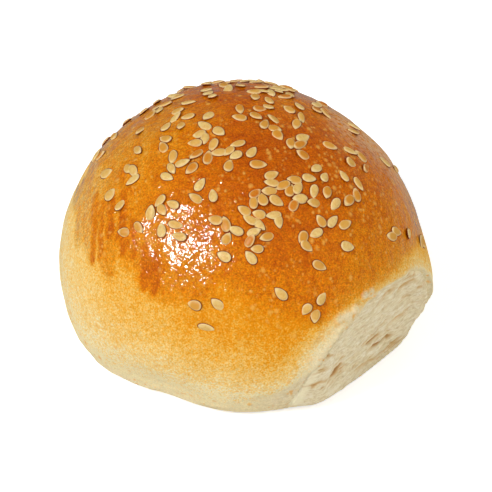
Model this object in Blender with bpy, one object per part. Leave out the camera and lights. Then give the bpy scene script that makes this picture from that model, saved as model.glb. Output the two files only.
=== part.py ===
"""A soft sesame bread roll: one domed piece of bread on a flat underside, with a flat, recessed arch on its
front right side where a neighbouring roll was pulled away."""

import math

import bpy
import numpy as np

# Driving sizes, in metres. The front is -Y, +X is the right, +Z is up, and the underside lies on z = 0.
ROLL_RADIUS = 0.0433  # at the widest level
WIDEST_LEVEL = 0.0155  # height of the widest level
DOME_RISE = 0.0427  # from the widest level up to the apex
FOOT_RADIUS = 0.0372  # the flat underside, inside its soft rounded edge
FOOT_LOBES_FADE = 0.5  # the power of the height with which the foot's lobes give way to the body's
LEAN = (-0.0011, -0.0007)  # how far the apex stands off the middle of the roll
LEAN_POWER = 1.5  # the apex leans more than the sides

# The outline's lobes: how many go round the roll, their share of the radius, the azimuth of one crest.
BODY_LOBES = ((2, 0.004, 12), (3, 0.019, -44))
FOOT_LOBES = ((2, 0.023, 40), (3, 0.018, -11))

# Where the side swells or sinks: azimuth, height, spread in degrees, spread in height, how far it stands out.
SWELLS = (
    (-8, 0.015, 12, 0.007, 0.0019),
    (-30, 0.002, 11, 0.007, 0.0014),
    (-48, 0.001, 10, 0.006, -0.0013),
    (-120, 0.004, 20, 0.008, -0.0040),
    (60, 0.040, 25, 0.014, -0.0018),
)

# The torn side. Seen square on it is an arch that stands on the underside.
TORN_AZIMUTH = -41.5  # the way it faces, degrees
TORN_DISTANCE = 0.0406  # from the roll's axis to the torn face, at the arch's top
TORN_UNDERCUT = 0.0020  # how much nearer the axis the face is at the underside
TORN_HEIGHT = 0.0290
TORN_HALF_WIDTH = 0.0175
TORN_BLEND = 0.0050  # the width over which the round side turns into the flat
TORN_DRAW = 0.4  # the share by which dough inside the flat's plane is drawn out to it
LIP_SHIFT = 0.0015  # the crumb's arch stands this far to the right of the flat's middle
LIP_INSET = 0.0005  # and this far inside the flat's edge
CRUMB_RECESS = 0.0009  # the crumb's depth inside the crust's lip

# How finely the curved faces are divided.
COLUMNS = 108
DOME_ROWS = 27
FOOT_ROWS = 9
ARCH_POINTS = 26

CUTTER_REACH = 0.02  # how far the cutter stands clear of the roll
CRUST_COLOUR = (0.70, 0.30, 0.06, 1.0)
CRUST_ROUGHNESS = 0.4


def roll_profile():
    """The (radius, height) points of half a cross-section, from the apex to the underside's rim."""
    points = []
    for row in range(DOME_ROWS + 1):
        angle = math.pi / 2 * row / DOME_ROWS
        radius = ROLL_RADIUS * math.sin(angle)
        height = WIDEST_LEVEL + DOME_RISE * math.cos(angle)
        points.append((radius, height))
    for row in range(1, FOOT_ROWS + 1):
        angle = math.pi / 2 * row / FOOT_ROWS
        radius = FOOT_RADIUS + (ROLL_RADIUS - FOOT_RADIUS) * math.cos(angle)
        height = WIDEST_LEVEL * (1 - math.sin(angle))
        points.append((radius, height))
    return points


def turned(profile):
    """The points of the profile turned round the axis, row by row; the apex is one point."""
    azimuths = np.arange(COLUMNS) * math.tau / COLUMNS
    rows = [np.array([[0.0, 0.0, profile[0][1]]])]
    for radius, height in profile[1:]:
        level = np.full(COLUMNS, height)
        rows.append(np.stack([radius * np.cos(azimuths), radius * np.sin(azimuths), level], axis=1))
    return np.concatenate(rows)


def lobed(azimuth, lobes):
    """The factor on the radius, at each azimuth, of an outline with these lobes."""
    factor = np.ones_like(azimuth)
    for count, share, crest in lobes:
        factor += share * np.cos(count * (azimuth - math.radians(crest)))
    return factor


def swelling(azimuth, height):
    """How far the side stands out at each point beyond its lobed outline."""
    total = np.zeros_like(azimuth)
    for facing, level, turn, rise, swell in SWELLS:
        away = (np.degrees(azimuth) - facing + 180) % 360 - 180
        total += swell * np.exp(-((away / turn) ** 2) - ((height - level) / rise) ** 2)
    return total


def risen(points):
    """The turned points moved as dough rises: lobed outlines, and a dome that leans."""
    x, y, z = points.T
    azimuth = np.arctan2(y, x)
    foot = lobed(azimuth, FOOT_LOBES)
    body = lobed(azimuth, BODY_LOBES)
    share = np.clip(z / WIDEST_LEVEL, 0, 1) ** FOOT_LOBES_FADE
    radius = np.hypot(x, y) * (foot + (body - foot) * share) + swelling(azimuth, z)
    lean = np.clip((z - WIDEST_LEVEL) / DOME_RISE, 0, 1) ** LEAN_POWER
    x = radius * np.cos(azimuth) + LEAN[0] * lean
    y = radius * np.sin(azimuth) + LEAN[1] * lean
    return np.stack([x, y, z], axis=1)


def torn_axes():
    """The torn side's unit vectors: straight out of it, and level along it."""
    angle = math.radians(TORN_AZIMUTH)
    outward = np.array([math.cos(angle), math.sin(angle), 0])
    along = np.array([-math.sin(angle), math.cos(angle), 0])
    return outward, along


def torn_distance(height):
    """How far the torn face is from the axis at this height."""
    return TORN_DISTANCE - TORN_UNDERCUT * (1 - height / TORN_HEIGHT)


def smooth_step(share):
    share = np.clip(share, 0, 1)
    return share * share * (3 - 2 * share)


def flattened(points):
    """The points with the torn side drawn to its flat face inside the arch."""
    outward, along = torn_axes()
    out = points @ outward
    height = points[:, 2]
    arch = np.hypot((points @ along) / TORN_HALF_WIDTH, height / TORN_HEIGHT)
    inside = 1 - smooth_step((arch - 1) * TORN_HALF_WIDTH / TORN_BLEND + 0.5)
    short = torn_distance(height) - out
    shift = np.where(short > 0, short * TORN_DRAW, short) * inside
    return points + np.outer(np.where(out > 0, shift, 0), outward)


def grid_faces(row_count):
    """Faces for rows of COLUMNS points below one apex, with the last row closed as the underside."""
    faces = []
    for column in range(COLUMNS):
        beside = (column + 1) % COLUMNS
        faces.append((0, 1 + column, 1 + beside))
        for row in range(row_count - 1):
            upper = 1 + row * COLUMNS
            lower = upper + COLUMNS
            faces.append((upper + column, lower + column, lower + beside, upper + beside))
    rim = 1 + (row_count - 1) * COLUMNS
    faces.append(tuple(rim + column for column in reversed(range(COLUMNS))))
    return faces


def mesh_object(name, points, faces):
    mesh = bpy.data.meshes.new(name)
    mesh.from_pydata([tuple(point) for point in points], [], faces)
    mesh.update()
    body = bpy.data.objects.new(name, mesh)
    bpy.context.scene.collection.objects.link(body)
    return body


def roll_body():
    """The roll in one piece, with its torn side flat, and the points' middle on the axis."""
    profile = roll_profile()
    points = flattened(risen(turned(profile)))
    middle = (points.min(axis=0) + points.max(axis=0)) / 2
    middle[2] = 0
    body = mesh_object("bread_roll", points - middle, grid_faces(len(profile) - 1))
    for face in body.data.polygons:
        face.use_smooth = True
    return body, middle


def crumb_cutter(middle):
    """The block that recesses the torn crumb inside its lip: an arch, pushed through from outside."""
    outward, along = torn_axes()
    half_width = TORN_HALF_WIDTH - LIP_INSET
    height = TORN_HEIGHT - LIP_INSET
    outline = [(half_width, -CUTTER_REACH)]
    for step in range(ARCH_POINTS + 1):
        angle = math.pi * step / ARCH_POINTS
        outline.append((half_width * math.cos(angle), height * math.sin(angle)))
    outline.append((-half_width, -CUTTER_REACH))
    count = len(outline)
    points = []
    for far in (0, CUTTER_REACH):
        for side, level in outline:
            reach = torn_distance(level) - CRUMB_RECESS + far
            points.append(outward * reach + along * (side + LIP_SHIFT) + [0, 0, level] - middle)
    faces = [tuple(reversed(range(count))), tuple(range(count, 2 * count))]
    for corner in range(count):
        after = (corner + 1) % count
        faces.append((corner, after, after + count, corner + count))
    cutter = mesh_object("crumb_cutter", points, faces)
    cutter.hide_render = True
    cutter.display_type = "WIRE"
    return cutter


def cut(body, cutter):
    boolean = body.modifiers.new("recess", "BOOLEAN")
    boolean.operation = "DIFFERENCE"
    boolean.solver = "EXACT"
    boolean.object = cutter


def crust():
    material = bpy.data.materials.new("crust")
    material.use_nodes = True
    surface = material.node_tree.nodes["Principled BSDF"]
    surface.inputs["Base Color"].default_value = CRUST_COLOUR
    surface.inputs["Roughness"].default_value = CRUST_ROUGHNESS
    return material


def main():
    for leftover in list(bpy.data.objects):
        bpy.data.objects.remove(leftover)
    body, middle = roll_body()
    cut(body, crumb_cutter(middle))
    body.data.materials.append(crust())


main()
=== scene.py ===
"""The looks of a soft sesame bread roll: egg-washed crust, torn crumb, seeds and studio light."""

import math

import bpy
import numpy as np
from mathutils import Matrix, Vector
from mathutils.bvhtree import BVHTree


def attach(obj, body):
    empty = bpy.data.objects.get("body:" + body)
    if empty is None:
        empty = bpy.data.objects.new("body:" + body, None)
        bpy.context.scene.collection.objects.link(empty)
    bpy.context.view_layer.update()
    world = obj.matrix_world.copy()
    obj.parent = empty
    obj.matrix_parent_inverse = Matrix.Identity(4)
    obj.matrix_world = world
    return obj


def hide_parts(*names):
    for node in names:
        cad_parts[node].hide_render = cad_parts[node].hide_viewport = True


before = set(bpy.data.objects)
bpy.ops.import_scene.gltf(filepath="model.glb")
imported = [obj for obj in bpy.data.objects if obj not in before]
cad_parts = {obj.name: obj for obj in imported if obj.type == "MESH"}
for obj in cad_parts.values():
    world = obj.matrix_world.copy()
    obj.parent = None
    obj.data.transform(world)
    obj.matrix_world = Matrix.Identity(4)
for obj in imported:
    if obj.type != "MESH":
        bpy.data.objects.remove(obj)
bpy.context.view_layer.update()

MM = 0.001
RANDOM = np.random.default_rng(41)

# The roll, in metres. The front is -Y and +X is the right.
CENTRE = np.array([0.0, 0.0, 0.0155])  # inside the roll, at its widest level
ROLL_RADIUS = 0.043
CRUST_CELLS = 128  # along each edge of the cube that the crust's grid is blown up from
SMOOTHING_ROUNDS = 14

# The torn side: a flat-topped arch on the front right, wider on the left of its middle than on the right.
TEAR_AZIMUTH = math.radians(-38)
TEAR_HEIGHT = 27.2 * MM
TEAR_LEFT = 24.0 * MM
TEAR_RIGHT = 20.0 * MM
TEAR_SQUARENESS = 2.8  # 2 would be an ellipse
LIP_RAGGEDNESS = 0.9 * MM
CRUMB_SINK = 1.0 * MM  # the crumb's depth behind the crust's lip
CRUMB_CELL = 0.21 * MM
CRUMB_THICKNESS = 3.0 * MM

# Sesame seeds.
SEED_LENGTH = 3.4 * MM
SEED_WIDTH = 2.1 * MM
SEED_HEIGHT = 0.95 * MM
SEED_VARIETY = 0.07  # how much each size differs from seed to seed, as a share
SEED_TILT = 0.12  # how far a seed leans off the crust, in radians
SEED_LIFT = 0.16  # how far a seed's middle is above the crust, as a share of its height
SEED_GAP = 1.9 * MM  # between the middles of neighbours, where there is room
SEED_TRIES = 12

# The camera looks down on the front of the roll.
CAMERA_ELEVATION = math.radians(38)
CAMERA_DISTANCE = 0.6


# ---------------------------------------------------------------- numbers and noise

def smooth_step(low, high, value):
    share = np.clip((value - low) / (high - low), 0, 1)
    return share * share * (3 - 2 * share)


def bump(value, middle, spread):
    return np.exp(-(((value - middle) / spread) ** 2))


def random_corner(corner, seed):
    """A fixed random direction for each whole-numbered corner of space."""
    mixed = (corner * np.array([73856093, 19349663, 83492791])).sum(axis=-1) + seed * 2654435761
    mixed = (mixed ^ (mixed >> 13)) * 1274126177 & 0xFFFFFFFF
    mixed = (mixed ^ (mixed >> 16)) * 2246822519 & 0xFFFFFFFF
    turn = (mixed & 0xFFFF) / 65536 * math.tau
    height = ((mixed >> 16) & 0xFFFF) / 32768 - 1
    level = np.sqrt(1 - height**2)
    return np.stack([level * np.cos(turn), level * np.sin(turn), height], axis=-1)


def noise(points, size, seed=0):
    """Smooth noise, from about -1 to 1, whose lumps are about this size. The size may differ by axis."""
    place = points / np.asarray(size)
    corner = np.floor(place).astype(np.int64)
    inside = place - corner
    fade = inside**3 * (inside * (inside * 6 - 15) + 10)
    total = np.zeros(len(points))
    for index in range(8):
        offset = np.array([index & 1, (index >> 1) & 1, (index >> 2) & 1])
        share = np.prod(np.where(offset, fade, 1 - fade), axis=1)
        total += share * (random_corner(corner + offset, seed) * (inside - offset)).sum(axis=1)
    return total * 1.8


def rough_noise(points, size, seed=0, octaves=3):
    size = np.asarray(size, dtype=float)
    total = np.zeros(len(points))
    for octave in range(octaves):
        total += noise(points, size / 2**octave, seed + octave) / 2**octave
    return total


# ---------------------------------------------------------------- meshes

def mesh_piece(name, points, faces, material, attributes=None):
    mesh = bpy.data.meshes.new(name)
    mesh.from_pydata(points.tolist(), [], faces.tolist())
    mesh.update()
    mesh.shade_smooth()
    for title, values in (attributes or {}).items():
        layer = mesh.attributes.new(title, "FLOAT", "POINT")
        layer.data.foreach_set("value", np.asarray(values, dtype=np.float32))
    mesh.materials.append(material)
    piece = bpy.data.objects.new(name, mesh)
    bpy.context.scene.collection.objects.link(piece)
    return piece


def point_normals(points, faces):
    """Each point's outward direction, from the quads round it."""
    across = points[faces[:, 2]] - points[faces[:, 0]]
    along = points[faces[:, 3]] - points[faces[:, 1]]
    face_normals = np.cross(across, along)
    normals = np.zeros_like(points)
    for corner in range(4):
        np.add.at(normals, faces[:, corner], face_normals)
    return normals / np.linalg.norm(normals, axis=1, keepdims=True)


def relaxed(points, faces, rounds):
    """The points with each one moved towards the mean of its neighbours, a number of times."""
    edges = np.concatenate([faces[:, [0, 1]], faces[:, [1, 2]], faces[:, [2, 3]], faces[:, [3, 0]]])
    count = np.bincount(edges[:, 0], minlength=len(points))
    count = count + np.bincount(edges[:, 1], minlength=len(points))
    for _ in range(rounds):
        total = np.zeros_like(points)
        for axis in range(3):
            total[:, axis] = np.bincount(edges[:, 0], points[edges[:, 1], axis], len(points))
            total[:, axis] += np.bincount(edges[:, 1], points[edges[:, 0], axis], len(points))
        points = points / 2 + total / count[:, None] / 2
    return points


def ball_grid(cells):
    """Directions and quads of a cube blown up into a ball, whose cells are even and which has no poles."""
    steps = np.tan(np.linspace(-1, 1, cells + 1) * math.pi / 4)
    u, v = np.meshgrid(steps, steps, indexing="ij")
    one = np.ones_like(u)
    sides = ((one, u, v), (-one, v, u), (v, one, u), (u, -one, v), (u, v, one), (v, u, -one))
    points = np.concatenate([np.stack(side, axis=-1).reshape(-1, 3) for side in sides])
    points /= np.linalg.norm(points, axis=1, keepdims=True)
    number = np.arange((cells + 1) ** 2).reshape(cells + 1, cells + 1)
    corners = (number[:-1, :-1], number[1:, :-1], number[1:, 1:], number[:-1, 1:])
    quads = np.stack([corner.ravel() for corner in corners], axis=1)
    faces = np.concatenate([quads + side * number.size for side in range(6)])
    _, first, merged = np.unique(np.round(points, 6), axis=0, return_index=True, return_inverse=True)
    return points[first], merged.reshape(-1)[faces]


def tree_of(points, faces):
    return BVHTree.FromPolygons(points.tolist(), faces.tolist())


# ---------------------------------------------------------------- the roll's own coordinates

def azimuth_of(points):
    return np.arctan2(points[:, 1], points[:, 0])


def direction(azimuth, elevation):
    """The unit vector that points this way, from angles in degrees."""
    turn, tilt = math.radians(azimuth), math.radians(elevation)
    return np.array([math.cos(tilt) * math.cos(turn), math.cos(tilt) * math.sin(turn), math.sin(tilt)])


def angle_between(azimuth, other):
    """The angle in degrees from one azimuth to another, the short way round, from -180 to 180."""
    return (np.degrees(azimuth - other) + 180) % 360 - 180


def angle_from(points, pole):
    """The angle in degrees, seen from the middle of the roll, between each point and the pole."""
    spot = points - CENTRE
    spot = spot / np.linalg.norm(spot, axis=1, keepdims=True)
    return np.degrees(np.arccos(np.clip(spot @ pole, -1, 1)))


def elevation_of(points):
    """The angle above the widest level, in degrees, seen from the middle of the roll."""
    spot = points - CENTRE
    return np.degrees(np.arctan2(spot[:, 2], np.hypot(spot[:, 0], spot[:, 1])))


def tear_axes():
    outward = np.array([math.cos(TEAR_AZIMUTH), math.sin(TEAR_AZIMUTH), 0])
    along = np.array([-math.sin(TEAR_AZIMUTH), math.cos(TEAR_AZIMUTH), 0])
    return outward, along


def tear_edge(points):
    """The distance outside the torn arch's edge, negative within it."""
    outward, along = tear_axes()
    side = points @ along
    height = points[:, 2]
    half_width = np.where(side < 0, TEAR_LEFT, TEAR_RIGHT)
    reach = np.abs(side / half_width) ** TEAR_SQUARENESS + np.abs(height / TEAR_HEIGHT) ** TEAR_SQUARENESS
    reach = reach ** (1 / TEAR_SQUARENESS)
    flat = np.stack([side, height, np.zeros_like(side)], axis=1)
    ragged = noise(flat, 6 * MM, 11) + 0.5 * noise(flat, 2.2 * MM, 12)
    edge = (reach - 1) * (TEAR_HEIGHT + half_width) / 2 + LIP_RAGGEDNESS * ragged * 0.6
    return np.where(points @ outward > 0, edge, 1.0)


def tear_fading(side, height):
    """How far each point is in the torn arch's low left end, where it fades into the crust, 0 to 1."""
    return smooth_step(-12 * MM, -21 * MM, side) * smooth_step(20 * MM, 15 * MM, height)


# ---------------------------------------------------------------- the crust

def crease_below(points):
    """How far each point is inside the soft step that runs on from the torn arch's left end, 0 to 1."""
    azimuth = np.degrees(azimuth_of(points))
    level = 8 * MM + 9 * MM * smooth_step(-88, -62, azimuth)
    reach = smooth_step(-96, -74, azimuth) * smooth_step(-28, -40, azimuth)
    return smooth_step(1.2 * MM, -1.2 * MM, points[:, 2] - level) * reach


# How brown the front of the crust is at each elevation, in degrees, from dough at 0 to the darkest at 1.
BROWNING = ((-22, 0.0), (-13, 0.04), (-5, 0.13), (3, 0.25), (11, 0.36), (19, 0.45), (27, 0.52), (35, 0.57),
            (43, 0.62), (51, 0.66), (59, 0.69), (90, 0.71))
# Browner still: azimuth and elevation of the middle and spread, in degrees, and how much.
BROWN_PATCHES = ((-70, 71, 14, 0.10), (-74, 42, 12, 0.10), (-64, 22, 10, 0.09), (-76, 6, 15, 0.06))
BLISTERED = direction(-25, 58)  # where the crust has most blisters


def browning(points):
    """How brown the oven left the crust at each point: less so on the left, and at the back right."""
    elevations, levels = zip(*BROWNING)
    elevation = elevation_of(points)
    bake = np.interp(elevation, elevations, levels)
    for azimuth, tilt, spread, more in BROWN_PATCHES:
        bake += more * bump(angle_from(points, direction(azimuth, tilt)), 0, spread)
    left = bump(angle_between(azimuth_of(points), math.radians(-180)), 0, 46)
    right = bump(angle_between(azimuth_of(points), math.radians(35)), 0, 32)
    lower = smooth_step(-12, 22, elevation) * (1 - 0.6 * smooth_step(58, 80, elevation))
    return bake - (0.26 * left + 0.19 * right) * lower


def brush_strokes(points):
    """The egg wash's streaks, which run from front to back, as a value round zero."""
    strokes = noise(points * np.array([1, 0.1, 0.1]), 2.4 * MM, 21)
    return strokes + 0.7 * noise(points * np.array([1, 0.1, 0.1]), 1.1 * MM, 23)


def wash_edge(points):
    """The elevation, in degrees, down to which the egg wash was brushed: higher on the left."""
    azimuth = azimuth_of(points)
    left = angle_between(azimuth, math.radians(-170))
    from_left = np.abs(angle_between(azimuth, math.radians(-150)))
    level = 13 + 12 * smooth_step(98, 58, from_left)
    level += 8 * bump(np.degrees(azimuth), -98, 4)
    ragged = (1 + 6 * bump(left, 0, 50)) * brush_strokes(points) + 4 * noise(points, 9 * MM, 22)
    return level + ragged + 14 * smooth_step(6 * MM, 0, tear_edge(points))


# Where the brush left the wash thick: x and y of each stroke's front end, its half-width and length, in mm.
THICK_STROKES = (
    (-34.5, -22.0, 0.8, 12),
    (-32.7, -23.0, 0.6, 9),
    (-30.6, -21.0, 0.9, 7),
    (-27.4, -25.5, 1.0, 10),
    (-25.0, -27.5, 0.7, 5),
    (-22.6, -32.3, 1.1, 4),
    (-20.6, -33.4, 1.3, 3),
)


def thick_wash(points):
    """How far each point is within a thick stroke of the egg wash, 0 to 1."""
    inside = np.zeros(len(points))
    wave = 0.5 * MM * noise(points, 3 * MM, 26)
    for x, y, radius, length in THICK_STROKES:
        across = points[:, 0] - x * MM + wave
        behind = points[:, 1] - y * MM
        beyond = np.minimum(behind, 0) + np.maximum(behind - length * MM, 0)
        off = np.hypot(across, beyond)
        inside = np.maximum(inside, smooth_step(radius * MM * 1.3, radius * MM * 0.7, off))
    return inside * (elevation_of(points) > 10)


# Lumps of pale dough on the torn arch's lip: azimuth, elevation and radius, in degrees.
LIP_LUMPS = (
    (-44.0, 16.0, 1.7),
    (-46.8, 18.8, 1.5),
    (-49.5, 19.3, 1.3),
    (-54.3, 16.6, 1.5),
    (-57.4, 15.5, 1.8),
    (-60.0, 15.8, 1.4),
)


def lip_lumps(points):
    """The lumps' height at each point, 0 to 1."""
    height = np.zeros(len(points))
    for azimuth, tilt, radius in LIP_LUMPS:
        off = angle_from(points, direction(azimuth, tilt))
        height = np.maximum(height, smooth_step(radius * 1.35, radius * 0.6, off))
    return height


def crust_fields(points):
    """What the crust's material needs at each point, from 0 to 1.

    They are baking, egg wash, pale stretched dough, blisters and dry flaking crust, partly painted sheen.
    """
    azimuth = np.degrees(azimuth_of(points))
    left = bump(angle_between(azimuth_of(points), math.radians(-160)), 0, 50)
    above = elevation_of(points) - wash_edge(points)
    softness = 6 - 4.2 * left
    thick = thick_wash(points)
    wash = np.maximum(smooth_step(-softness, softness, above), thick * 0.9)
    bake = browning(points) + 0.03 * noise(points, 12 * MM, 31) + 0.03 * rough_noise(points, 4 * MM, 32)
    bake -= (0.05 + 0.05 * left) * (1 - wash)
    bake += 0.03 * bump(above, 1.5, 3)
    bake += 0.06 * left * wash * brush_strokes(points) + 0.20 * thick
    blister = 0.25 + 0.75 * bump(angle_from(points, BLISTERED), 0, 24)
    bake += 0.06 * blister
    edge = tear_edge(points)
    towards_left = smooth_step(-44, -62, azimuth)
    bake -= (0.24 + 0.08 * towards_left) * smooth_step(6.5 * MM + 2 * MM * towards_left, -0.5 * MM, edge)
    pale = crease_below(points)
    pale = np.maximum(pale, smooth_step(0.9 * MM + 3.7 * MM * towards_left, 0, edge) * 0.8)
    pale = np.maximum(pale, smooth_step(5 * MM, 1 * MM, points[:, 2]) * 0.45)
    pale = np.maximum(pale, lip_lumps(points) * 0.85)
    around = angle_between(azimuth_of(points), math.radians(20))
    elevation = elevation_of(points)
    # Pale flaking crust high on the right side, partly a painted sheen along that rim.
    flaky_and_sheen = bump(around, 0, 22) * smooth_step(20, 34, elevation) * smooth_step(68, 52, elevation)
    wash = wash * (1 - 0.6 * flaky_and_sheen)
    return {"bake": bake, "wash": wash, "pale": pale, "blister": blister, "flaky_and_sheen": flaky_and_sheen}


def crust_relief(points):
    """How far the crust stands out from the plain form at each point."""
    azimuth = np.degrees(azimuth_of(points))
    height = points[:, 2]
    relief = 0.30 * MM * noise(points, 20 * MM, 1) + 0.20 * MM * noise(points, 8 * MM, 2)
    relief += 0.06 * MM * rough_noise(points, 3 * MM, 3, 2)
    relief -= 0.7 * MM * crease_below(points)
    rim = smooth_step(9 * MM, 1 * MM, height) * smooth_step(0, 0.6 * MM, height)
    wrinkles = noise(points * np.array([1, 1, 2.2]), 4 * MM, 5)
    relief += rim * (0.35 + 0.4 * bump(azimuth, -128, 35)) * MM * 0.5 * wrinkles
    lip = bump(tear_edge(points), 0.4 * MM, 1.1 * MM)
    relief += 0.5 * MM * lip * (1 - tear_fading(points @ tear_axes()[1], height))
    relief += 0.6 * MM * lip_lumps(points)
    return relief


def snapped_to_lip(points):
    """The points nearest the torn arch's edge moved onto it, so that the lip is a clean line."""
    reach = 0.32 * MM
    step = 0.02 * MM
    edge = tear_edge(points)
    near = np.abs(edge) < reach
    slope = np.zeros((near.sum(), 3))
    for axis in range(3):
        shifted = points[near].copy()
        shifted[:, axis] += step
        slope[:, axis] = (tear_edge(shifted) - edge[near]) / step
    moved = points.copy()
    moved[near] -= slope * (edge[near] / (slope**2).sum(axis=1))[:, None]
    return moved


def plain_roll():
    """The CAD roll's form on an even grid, with its facets smoothed away."""
    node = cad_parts["bread_roll"]
    corners = [vertex.co[:] for vertex in node.data.vertices]
    tree = BVHTree.FromPolygons(corners, [face.vertices[:] for face in node.data.polygons])
    directions, faces = ball_grid(CRUST_CELLS)
    start = Vector(CENTRE)
    points = np.array([tree.ray_cast(start, Vector(direction))[0] for direction in directions])
    points = relaxed(points, faces, SMOOTHING_ROUNDS)
    points[:, 2] = np.maximum(points[:, 2], 0)
    return points, faces


def crust_form(points, faces):
    """The plain roll with the crust's relief, and sunk behind the torn crumb."""
    points = snapped_to_lip(points)
    normals = point_normals(points, faces)
    edge = tear_edge(points)
    inside = edge < -0.05 * MM
    relief = crust_relief(points)
    relief = np.where(inside, -2.2 * MM, relief)
    under = smooth_step(-0.35, -0.9, normals[:, 2])
    points = points + normals * (relief * (1 - under))[:, None]
    points[:, 2] = np.maximum(points[:, 2], 0)
    return points


# ---------------------------------------------------------------- the torn crumb

def crumb_relief(side, height):
    """The torn crumb's fibres, pits and tears, as a height above its mean face."""
    flat = np.stack([side, height, np.zeros_like(side)], axis=1)
    bend = 1.4 * MM * noise(flat, 9 * MM, 61) + 0.5 * MM * noise(flat, 3.5 * MM, 67)
    drawn = np.stack([side, height + bend, np.zeros_like(side)], axis=1)
    relief = 0.55 * MM * noise(drawn, [16 * MM, 6 * MM, 1], 62)
    relief += 0.36 * MM * noise(drawn, [6 * MM, 1.7 * MM, 1], 63)
    relief += 0.24 * MM * noise(drawn, [3.2 * MM, 0.9 * MM, 1], 64)
    relief += 0.12 * MM * noise(drawn, [1.5 * MM, 0.5 * MM, 1], 65)
    cells = noise(drawn, [2.6 * MM, 1.2 * MM, 1], 66)
    relief -= 0.4 * MM * smooth_step(0.35, 0.8, cells)
    return relief


# Deep slits where the crumb parted: side, height, half-length, half-height, tilt in degrees, depth.
CRUMB_SLITS = (
    (2.2, 7.8, 4.4, 0.50, -9, 1.2),
    (-0.9, 10.5, 2.4, 0.42, 3, 1.0),
    (1.9, 13.4, 1.5, 0.60, 20, 0.8),
    (-0.7, 12.2, 1.2, 0.35, 0, 0.5),
    (-4.2, 11.9, 1.4, 0.40, 10, 0.6),
    (-13.7, 9.4, 2.0, 0.60, 22, 1.0),
    (-12.8, 12.6, 1.8, 0.35, 35, 0.5),
    (-14.9, 16.9, 1.3, 0.35, 50, 0.5),
    (8.8, 11.6, 3.0, 0.90, -10, 0.5),
    (4.6, 9.4, 1.8, 0.30, -8, 0.6),
    (-7.5, 6.4, 2.0, 0.30, 8, 0.5),
    (3.0, 19.0, 1.8, 0.30, 5, 0.3),
    (-9.5, 17.0, 1.6, 0.30, 12, 0.3),
    (10.5, 17.0, 1.5, 0.30, -12, 0.3),
)


def crumb_slits(side, height):
    """The slits' depth, from 0 to the deepest, at each point."""
    depth = np.zeros_like(side)
    flat = np.stack([side, height, np.zeros_like(side)], axis=1)
    wave = 0.9 * MM * noise(flat, 3 * MM, 71)
    for middle, level, length, thickness, tilt, deep in CRUMB_SLITS:
        angle = math.radians(tilt)
        x = side - middle * MM
        y = height - level * MM + wave
        along = (x * math.cos(angle) + y * math.sin(angle)) / (length * MM)
        across = (y * math.cos(angle) - x * math.sin(angle)) / (thickness * MM)
        depth = np.maximum(depth, deep * np.exp(-(along**4)) * np.exp(-(across**2)))
    return depth


def crumb_grid():
    """A level grid over the torn arch, a little beyond its edge: side and height of each point, and quads."""
    margin = 1.5 * MM
    sides = np.arange(-TEAR_LEFT - margin, TEAR_RIGHT + margin, CRUMB_CELL)
    heights = np.arange(0.15 * MM, TEAR_HEIGHT + margin, CRUMB_CELL)
    side, height = np.meshgrid(sides, heights, indexing="ij")
    number = np.arange(side.size).reshape(side.shape)
    corners = (number[:-1, :-1], number[1:, :-1], number[1:, 1:], number[:-1, 1:])
    quads = np.stack([corner.ravel() for corner in corners], axis=1)
    return side.ravel(), height.ravel(), quads


def boundary_of(quads):
    """The directed edges that only one quad has."""
    edges = np.concatenate([quads[:, [0, 1]], quads[:, [1, 2]], quads[:, [2, 3]], quads[:, [3, 0]]])
    known = {tuple(edge) for edge in edges.tolist()}
    return np.array([edge for edge in edges.tolist() if (edge[1], edge[0]) not in known])


def torn_crumb(plain_points, plain_faces, material):
    """The fibrous torn face: a closed slab that fills the arch and tucks in behind the lip."""
    outward, along = tear_axes()
    tree = tree_of(plain_points, plain_faces)
    side, height, quads = crumb_grid()
    far = 0.08
    start = np.outer(side, along) + np.outer(height, [0, 0, 1]) + outward * far
    reach = np.array([far - tree.ray_cast(Vector(spot), Vector(-outward))[3] for spot in start])
    face = np.outer(side, along) + np.outer(height, [0, 0, 1]) + np.outer(reach, outward)
    edge = tear_edge(face)
    keep = edge < 0.9 * MM
    quads = quads[keep[quads].all(axis=1)]
    used = np.unique(quads)
    renumber = np.zeros(len(face), dtype=int)
    renumber[used] = np.arange(len(used))
    quads, face, edge = renumber[quads], face[used], edge[used]
    side, height = side[used], height[used]
    slits = crumb_slits(side, height)
    relief = crumb_relief(side, height)
    tuck = smooth_step(-1.6 * MM, 0.4 * MM, edge)
    fading = tear_fading(side, height)
    sink = CRUMB_SINK * (0.3 + 0.7 * tuck) * (1 - 0.75 * fading)
    push = relief * (1 - 0.6 * tuck) * (1 - 0.6 * fading) - slits * MM - sink
    low = smooth_step(2.5 * MM, 0, height)
    push -= 0.8 * MM * low
    front = face + np.outer(push, outward)
    back = face - outward * CRUMB_THICKNESS
    count = len(front)
    rim = boundary_of(quads)
    walls = np.stack([rim[:, 0], rim[:, 0] + count, rim[:, 1] + count, rim[:, 1]], axis=1)
    faces = np.concatenate([quads, quads[:, ::-1] + count, walls])
    # How much painted shade browns the crumb at each point: more in deep slits and hollows.
    cavity_shade = np.clip(slits + np.maximum(0, -relief / MM), 0, 1.2)
    fields = {
        "cavity_shade": np.concatenate([cavity_shade, cavity_shade]),
        "lip": np.concatenate([smooth_step(-1.5 * MM, -0.2 * MM, edge)] * 2),
    }
    return mesh_piece("torn_crumb", np.concatenate([front, back]), faces, material, fields)


# ---------------------------------------------------------------- sesame seeds

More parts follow.
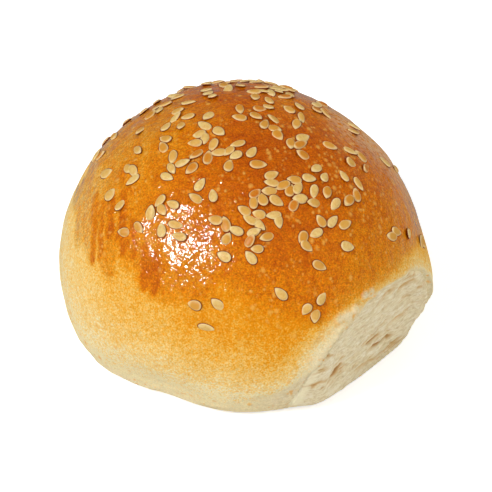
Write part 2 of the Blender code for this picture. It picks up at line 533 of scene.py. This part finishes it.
# Handfuls of seeds: azimuth and elevation of the middle, in degrees, spread in millimetres, and how many.
SEED_HANDFULS = (
    (0, 86, 3.5, 9),
    (110, 72, 3.5, 7),
    (65, 73, 3.0, 6),
    (30, 65, 4.0, 6),
    (-10, 15, 1.5, 2),
    (-15, 78, 4.0, 7),
    (-15, 51, 4.5, 6),
    (-22, 30, 3.0, 3),
    (-40, 50, 2.6, 6),
    (-58, 58, 3.2, 11),
    (-60, 41, 3.2, 7),
    (-68, 23, 4.5, 4),
    (-80, 54, 2.8, 13),
    (-90, 45, 2.6, 8),
    (-98, 68, 2.8, 8),
    (-100, 28, 3.5, 3),
    (-110, 54, 2.6, 4),
    (-127, 46, 3.0, 8),
    (-132, 62, 2.8, 7),
    (-140, 73, 3.0, 7),
    (-145, 41, 4.0, 4),
    (-155, 53, 2.5, 3),
    (-175, 66, 2.8, 8),
    (180, 44, 5.0, 4),
    (150, 58, 3.5, 9),
    (140, 40, 4.0, 6),
    (115, 52, 3.5, 9),
    (90, 58, 3.0, 8),
    (95, 36, 5.0, 6),
    (78, 47, 4.0, 8),
    (62, 66, 3.0, 6),
    (20, 56, 2.5, 3),
    (8, 36, 3.0, 2),
)


def seed_shape(rings=12, spokes=16):
    """A teardrop seed, one unit long and lying flat on z = 0, with its pale rim and its dark foot, 0 to 1.

    The foot is a low brim of set egg wash, a little wider than the seed, dark also as painted contact shade.
    """
    points, rim, foot, faces = [], [], [], []
    for ring in range(rings + 1):
        turn = math.pi * ring / rings
        along = (1 - math.cos(turn)) / 2
        width = math.sin(turn) * math.sin(turn / 2) ** 0.5 / 0.88
        for spoke in range(spokes):
            angle = math.tau * spoke / spokes
            across, up = math.cos(angle), math.sin(angle)
            crown = 1 - 0.14 * math.exp(-((across / 0.4) ** 2)) if up > 0 else 0.5
            brim = 1 if up > -0.1 else 1.27
            stretch = 1 if up > -0.1 else 1.13
            points.append(((along - 0.5) * stretch, across * width / 2 * brim, width**0.5 * up * crown / 2))
            rim.append(1 - max(0, up) ** 0.5 * min(1, width * 1.2))
            foot.append(1.0 if up < -0.1 else 0.0)
    for ring in range(rings):
        for spoke in range(spokes):
            beside = (spoke + 1) % spokes
            low, high = ring * spokes, (ring + 1) * spokes
            faces.append((low + spoke, high + spoke, high + beside, low + beside))
    return np.array(points), np.array(rim), np.array(foot), np.array(faces)


def seed_spots(tree):
    """Where the seeds lie: a spot on the crust and its outward direction for each."""
    spots, normals = [], []
    centre = Vector(CENTRE)
    for azimuth, elevation, spread, count in SEED_HANDFULS:
        middle = direction(azimuth, elevation)
        for _ in range(count):
            for _attempt in range(SEED_TRIES):
                aim = middle + RANDOM.normal(0, spread * MM / ROLL_RADIUS, 3)
                spot, normal, _, _ = tree.ray_cast(centre, Vector(aim))
                gap = min((Vector(other) - spot).length for other in spots) if spots else 1
                if gap > SEED_GAP:
                    break
            spots.append(spot[:])
            normals.append(normal[:])
    return np.array(spots), np.array(normals)


def sesame_seeds(crust_tree, material):
    """All the seeds in one piece, each lying on the crust and turned its own way."""
    shape, rim, foot, quads = seed_shape()
    spots, normals = seed_spots(crust_tree)
    points, faces, tints = [], [], []
    for index, (spot, normal) in enumerate(zip(spots, normals)):
        normal = normal + RANDOM.normal(0, SEED_TILT, 3)
        normal /= np.linalg.norm(normal)
        heading = np.cross(normal, RANDOM.normal(0, 1, 3))
        heading /= np.linalg.norm(heading)
        beside = np.cross(normal, heading)
        size = np.array([SEED_LENGTH, SEED_WIDTH, SEED_HEIGHT]) * RANDOM.normal(1, SEED_VARIETY, 3)
        body = shape * size
        placed = spot + np.outer(body[:, 0], heading) + np.outer(body[:, 1], beside)
        placed += np.outer(body[:, 2] + size[2] * SEED_LIFT, normal)
        points.append(placed)
        faces.append(quads + index * len(shape))
        tints.append(np.full(len(shape), RANDOM.random()))
    fields = {
        "tint": np.concatenate(tints),
        "rim": np.tile(rim, len(spots)),
        "foot": np.tile(foot, len(spots)),
    }
    return mesh_piece("sesame_seeds", np.concatenate(points), np.concatenate(faces), material, fields)


# ---------------------------------------------------------------- materials

def linear(red, green, blue):
    """A colour as seen, 0 to 255, as the light that a material reflects."""
    levels = (red / 255, green / 255, blue / 255)
    light = [level / 12.92 if level < 0.04045 else ((level + 0.055) / 1.055) ** 2.4 for level in levels]
    return (*light, 1.0)


class Nodes:
    """A material's nodes, added and linked in one call each."""

    def __init__(self, name):
        self.material = bpy.data.materials.new(name)
        self.material.use_nodes = True
        self.tree = self.material.node_tree
        self.surface = self.tree.nodes["Principled BSDF"]

    def add(self, kind, links=None, **settings):
        node = self.tree.nodes.new(kind)
        for title, value in settings.items():
            setattr(node, title, value)
        for socket, value in (links or {}).items():
            self.set(node.inputs[socket], value)
        return node

    def set(self, socket, value):
        if isinstance(value, bpy.types.NodeSocket):
            self.tree.links.new(value, socket)
        else:
            socket.default_value = value

    def attribute(self, name):
        return self.add("ShaderNodeAttribute", attribute_name=name).outputs["Fac"]

    def math(self, operation, first, second=0.0, clamp=False):
        links = {0: first, 1: second}
        return self.add("ShaderNodeMath", links, operation=operation, use_clamp=clamp).outputs[0]

    def noise(self, size, detail=2.0, rough=0.5, distortion=0.0, stretch=(1, 1, 1), turn=0.0):
        """Noise with lumps of this size, drawn out along axes that are turned about the upright."""
        place = self.add("ShaderNodeTexCoord").outputs["Object"]
        links = {"Vector": place, "Scale": stretch, "Rotation": (0, 0, turn)}
        place = self.add("ShaderNodeMapping", links, vector_type="TEXTURE").outputs[0]
        links = {"Vector": place, "Scale": 1 / size}
        links.update({"Detail": detail, "Roughness": rough, "Distortion": distortion})
        return self.add("ShaderNodeTexNoise", links).outputs["Fac"]

    def cells(self, size, stretch=(1, 1, 1)):
        """The distance from the nearest of evenly scattered points, as a share of this size."""
        place = self.add("ShaderNodeTexCoord").outputs["Object"]
        links = {"Vector": place, "Scale": stretch}
        place = self.add("ShaderNodeMapping", links, vector_type="TEXTURE").outputs[0]
        return self.add("ShaderNodeTexVoronoi", {"Vector": place, "Scale": 1 / size}).outputs["Distance"]

    def ramp(self, factor, stops):
        node = self.add("ShaderNodeValToRGB", {"Fac": factor})
        elements = node.color_ramp.elements
        while len(elements) < len(stops):
            elements.new(0.5)
        for element, (place, colour) in zip(elements, stops):
            element.position = place
            element.color = colour
        return node.outputs["Color"]

    def mix(self, factor, first, second, blend="MIX"):
        node = self.add("ShaderNodeMix", data_type="RGBA", blend_type=blend)
        self.set(node.inputs[0], factor)
        self.set(node.inputs[6], first)
        self.set(node.inputs[7], second)
        return node.outputs[2]

    def spread(self, value, low, high, to_low=0.0, to_high=1.0):
        """The value's range from low to high, carried over to another range and held within it."""
        links = {"Value": value, "From Min": low, "From Max": high, "To Min": to_low, "To Max": to_high}
        return self.add("ShaderNodeMapRange", links).outputs[0]

    def bump(self, height, distance, strength=1.0, normal=None):
        node = self.add("ShaderNodeBump", {"Height": height, "Distance": distance, "Strength": strength})
        if normal is not None:
            self.set(node.inputs["Normal"], normal)
        return node.outputs[0]

    def shade(self, **sockets):
        for title, value in sockets.items():
            self.set(self.surface.inputs[title.replace("_", " ")], value)


# The crust's colour, from raw dough at 0 to dark brown at 1.
CRUST_STOPS = (
    (0.00, linear(242, 226, 180)),
    (0.08, linear(244, 215, 148)),
    (0.18, linear(243, 198, 112)),
    (0.30, linear(239, 177, 70)),
    (0.42, linear(234, 151, 24)),
    (0.55, linear(227, 132, 2)),
    (0.70, linear(210, 107, 0)),
    (0.85, linear(193, 88, 0)),
    (1.00, linear(176, 70, 0)),
)


def crust_colour(nodes, fine, grain, wash):
    """The baked colour, uneven at several sizes, with raw dough where the crust is pale."""
    bake = nodes.attribute("bake")
    bake = nodes.math("ADD", bake, nodes.spread(fine, 0.3, 0.7, -0.06, 0.06))
    bake = nodes.math("ADD", bake, nodes.spread(grain, 0.3, 0.7, -0.11, 0.11))
    scorched = nodes.spread(nodes.noise(2.4 * MM, 3, 0.65), 0.50, 0.68, 0, 0.13)
    bake = nodes.math("ADD", bake, nodes.math("MULTIPLY", scorched, wash))
    baked = nodes.ramp(bake, CRUST_STOPS)
    uneven = nodes.spread(fine, 0.35, 0.65)
    dough = nodes.mix(uneven, linear(228, 207, 160), linear(241, 226, 190))
    colour = nodes.mix(nodes.attribute("pale"), baked, dough)
    specks = nodes.spread(nodes.noise(0.45 * MM, 2, 0.7), 0.3, 0.7, 0.70, 1.20)
    return nodes.mix(nodes.spread(wash, 0, 1, 0.4, 1.0), colour, specks, "MULTIPLY")


def blisters(nodes, size, stretch):
    """Small bubbles in the crust, as a height from 0 to 1."""
    bubble = nodes.spread(nodes.cells(size, stretch), 0.12, 0.34, 1, 0)
    more = nodes.math("MULTIPLY", nodes.attribute("blister"), 0.16)
    patches = nodes.math("ADD", nodes.noise(3.5 * MM, 2, 0.6), more)
    return nodes.math("MULTIPLY", bubble, nodes.spread(patches, 0.55, 0.64))


def flakes_and_sheen(nodes):
    """Dry flaking crust in pale upright streaks, partly a painted sheen, from 0 to 1."""
    streaks = nodes.noise(0.9 * MM, 3, 0.6, stretch=(1, 1, 3.5))
    return nodes.math("MULTIPLY", nodes.spread(streaks, 0.38, 0.56), nodes.attribute("flaky_and_sheen"))


def crust_material():
    """Baked crust. The egg wash is a wrinkled glossy coat over it."""
    nodes = Nodes("baked_crust")
    wash = nodes.attribute("wash")
    fine = nodes.noise(1.1 * MM, 2, 0.6)
    grain = nodes.noise(0.4 * MM, 1, 0.5)
    colour = crust_colour(nodes, fine, grain, wash)
    large = blisters(nodes, 2.2 * MM, (1, 1, 1.5))
    small = blisters(nodes, 1.4 * MM, (1, 1.3, 1))
    bubbles = nodes.math("MAXIMUM", large, small)
    colour = nodes.mix(nodes.math("MULTIPLY", bubbles, 0.75), colour, linear(238, 176, 76))
    # Pale flaking crust, partly a painted sheen on the right rim.
    flaking_and_sheen = flakes_and_sheen(nodes)
    colour = nodes.mix(nodes.math("MULTIPLY", flaking_and_sheen, 0.85), colour, linear(234, 190, 142))
    wet = nodes.bump(nodes.noise(5.0 * MM, 2, 0.5), 0.75 * MM)
    wet = nodes.bump(nodes.noise(0.9 * MM, 1, 0.5, 0.6), 0.175 * MM, 1.0, wet)
    wet = nodes.bump(bubbles, 0.10 * MM, 0.9, wet)
    dry = nodes.bump(grain, 0.05 * MM, nodes.spread(wash, 0, 1, 0.8, 0.3), wet)
    dry = nodes.bump(flaking_and_sheen, 0.12 * MM, 0.8, dry)
    rough = nodes.spread(wash, 0, 1, 0.60, 0.45)
    nodes.shade(Base_Color=colour, Roughness=rough, Normal=dry, Specular_IOR_Level=0.03)
    nodes.shade(Coat_Weight=wash, Coat_Roughness=0.06, Coat_IOR=1.45, Coat_Normal=wet)
    nodes.shade(Subsurface_Weight=0.06, Subsurface_Radius=(1.0, 0.5, 0.2), Subsurface_Scale=1.2 * MM)
    return nodes.material


def crumb_material():
    """Pale crumb: drawn-out fibres, pores, a creamy lip and painted shade that browns its hollows."""
    nodes = Nodes("torn_bread")
    cavity_shade = nodes.attribute("cavity_shade")
    lip = nodes.attribute("lip")
    fibres = nodes.noise(0.5 * MM, 3, 0.6, stretch=(1, 5, 1), turn=TEAR_AZIMUTH)
    pores = nodes.noise(0.6 * MM, 1, 0.5)
    stops = ((0.0, linear(218, 197, 152)), (0.5, linear(237, 221, 181)), (1.0, linear(248, 238, 211)))
    colour = nodes.ramp(nodes.spread(fibres, 0.32, 0.68), stops)
    colour = nodes.mix(nodes.spread(pores, 0.58, 0.7, 0, 0.35), colour, linear(206, 178, 124))
    colour = nodes.mix(nodes.math("MULTIPLY", lip, 0.8), colour, linear(250, 238, 200))
    # Painted shade: the crumb turns browner where its slits and hollows lie deep.
    stops = ((0.15, linear(226, 202, 152)), (0.5, linear(212, 170, 104)), (1.0, linear(176, 116, 48)))
    shade = nodes.ramp(cavity_shade, stops)
    colour = nodes.mix(nodes.spread(cavity_shade, 0.10, 0.60, 0, 0.92), colour, shade)
    rough = nodes.bump(fibres, 0.14 * MM, 0.9)
    rough = nodes.bump(pores, 0.06 * MM, 0.7, rough)
    nodes.shade(Base_Color=colour, Roughness=0.85, Normal=rough)
    nodes.shade(Subsurface_Weight=0.12, Subsurface_Radius=(1.0, 0.7, 0.4), Subsurface_Scale=1.0 * MM)
    return nodes.material


def seed_material():
    """Toasted sesame, each in its own tint, pale rimmed, with a dark wash brim and painted shade at its foot.
    """
    nodes = Nodes("sesame")
    stops = (
        (0.0, linear(232, 200, 128)),
        (0.35, linear(226, 186, 108)),
        (0.65, linear(220, 166, 78)),
        (0.88, linear(212, 142, 46)),
        (1.0, linear(204, 112, 18)),
    )
    colour = nodes.ramp(nodes.attribute("tint"), stops)
    mottle = nodes.noise(0.7 * MM, 2, 0.6)
    colour = nodes.mix(nodes.spread(mottle, 0.42, 0.62, 0, 0.45), colour, linear(212, 152, 62))
    rim = nodes.spread(nodes.attribute("rim"), 0.10, 0.45, 0.0, 0.75)
    colour = nodes.mix(rim, colour, linear(240, 214, 156))
    # Painted contact shade round each seed, which is also the dark set egg wash of its brim.
    foot = nodes.attribute("foot")
    colour = nodes.mix(nodes.spread(foot, 0.02, 0.3), colour, linear(150, 52, 4))
    uneven = nodes.bump(mottle, 0.04 * MM, 0.6)
    nodes.shade(Base_Color=colour, Roughness=0.38, Specular_IOR_Level=0.12, Normal=uneven)
    nodes.shade(Subsurface_Weight=0.08, Subsurface_Radius=(1.0, 0.6, 0.3), Subsurface_Scale=0.5 * MM)
    return nodes.material


# ---------------------------------------------------------------- stage, light and camera

def floor():
    """A pale floor that looks white to the camera and keeps the roll's soft shadow."""
    nodes = Nodes("white_floor")
    path = nodes.add("ShaderNodeLightPath").outputs
    nodes.shade(Base_Color=(0.86, 0.86, 0.86, 1), Roughness=0.9)
    glow = nodes.math("MULTIPLY", path["Is Camera Ray"], 0.55)
    nodes.shade(Emission_Color=(1, 1, 1, 1), Emission_Strength=glow)
    points = np.array([[-3, -3, 0], [3, -3, 0], [3, 3, 0], [-3, 3, 0]], dtype=float)
    plane = mesh_piece("floor", points, np.array([[0, 1, 2, 3]]), nodes.material)
    plane.location.z = -0.05 * MM
    plane.visible_glossy = False


def area_light(name, towards, distance, size, power, use="light"):
    """A square lamp. Its use is light, for what scatters it, or gleam, for what mirrors it."""
    lamp = bpy.data.lights.new(name, "AREA")
    lamp.shape = "SQUARE"
    lamp.size = size
    lamp.energy = power
    holder = bpy.data.objects.new(name, lamp)
    aim = Vector((0, 0, 0.025))
    holder.location = aim + Vector(towards).normalized() * distance
    holder.rotation_euler = (holder.location - aim).to_track_quat("Z", "Y").to_euler()
    holder.visible_glossy = use == "gleam"
    holder.visible_diffuse = use == "light"
    bpy.context.scene.collection.objects.link(holder)


def lights():
    """A soft key from the left, which also gleams on the wash, a fill from the right and a rim light."""
    area_light("key", (-0.57, -0.45, 0.69), 0.9, 0.18, 4.5)
    area_light("window", (-0.52, -0.54, 0.60), 0.9, 0.21, 10.5, use="gleam")
    area_light("fill", (0.75, -0.45, 0.50), 1.2, 0.9, 4.4)
    area_light("rim", (0.50, 0.85, 0.28), 1.2, 0.9, 3.0)
    studio()


def studio():
    """A white room. What mirrors it sees a dim ceiling and a brighter floor."""
    world = bpy.data.worlds.new("studio")
    world.use_nodes = True
    tree = world.node_tree
    place = tree.nodes.new("ShaderNodeTexCoord")
    height = tree.nodes.new("ShaderNodeSeparateXYZ")
    mirrored = tree.nodes.new("ShaderNodeMapRange")
    path = tree.nodes.new("ShaderNodeLightPath")
    strength = tree.nodes.new("ShaderNodeMapRange")
    background = tree.nodes["Background"].inputs
    background["Color"].default_value = (1, 1, 1, 1)
    tree.links.new(place.outputs["Generated"], height.inputs[0])
    tree.links.new(height.outputs["Z"], mirrored.inputs["Value"])
    mirrored.inputs["From Min"].default_value = -0.35
    mirrored.inputs["From Max"].default_value = 0.05
    mirrored.inputs["To Min"].default_value = 0.30
    mirrored.inputs["To Max"].default_value = 0.10
    tree.links.new(path.outputs["Is Glossy Ray"], strength.inputs["Value"])
    strength.inputs["To Min"].default_value = 0.37
    tree.links.new(mirrored.outputs[0], strength.inputs["To Max"])
    tree.links.new(strength.outputs[0], background["Strength"])
    bpy.context.scene.world = world


def camera():
    """A long lens, looking down on the front of the roll."""
    middle = Vector((-0.0003, -0.0006, 0.026))
    back = Vector((0, -math.cos(CAMERA_ELEVATION), math.sin(CAMERA_ELEVATION)))
    up = Vector((0, math.sin(CAMERA_ELEVATION), math.cos(CAMERA_ELEVATION)))
    aim = middle - up * 5.0 * MM + Vector((0.4 * MM, 0, 0))
    lens = bpy.data.cameras.new("camera")
    lens.lens = 186
    lens.sensor_width = 36
    lens.clip_start = 0.01
    holder = bpy.data.objects.new("camera", lens)
    holder.location = middle + back * CAMERA_DISTANCE
    holder.rotation_euler = (holder.location - aim).to_track_quat("Z", "Y").to_euler()
    bpy.context.scene.collection.objects.link(holder)
    bpy.context.scene.camera = holder


# ---------------------------------------------------------------- putting it together

def build_roll():
    """The roll's three pieces, riding on its body in place of the CAD solid."""
    plain, faces = plain_roll()
    form = crust_form(plain, faces)
    crust = mesh_piece("roll_crust", form, faces, crust_material(), crust_fields(plain))
    crumb = torn_crumb(plain, faces, crumb_material())
    seeds = sesame_seeds(tree_of(form, faces), seed_material())
    for piece, slot in ((crust, "crust"), (crumb, "crumb"), (seeds, "sesame")):
        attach(piece, "root")
    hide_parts("bread_roll")


build_roll()
floor()
lights()
camera()
bpy.context.scene.view_settings.view_transform = "Standard"
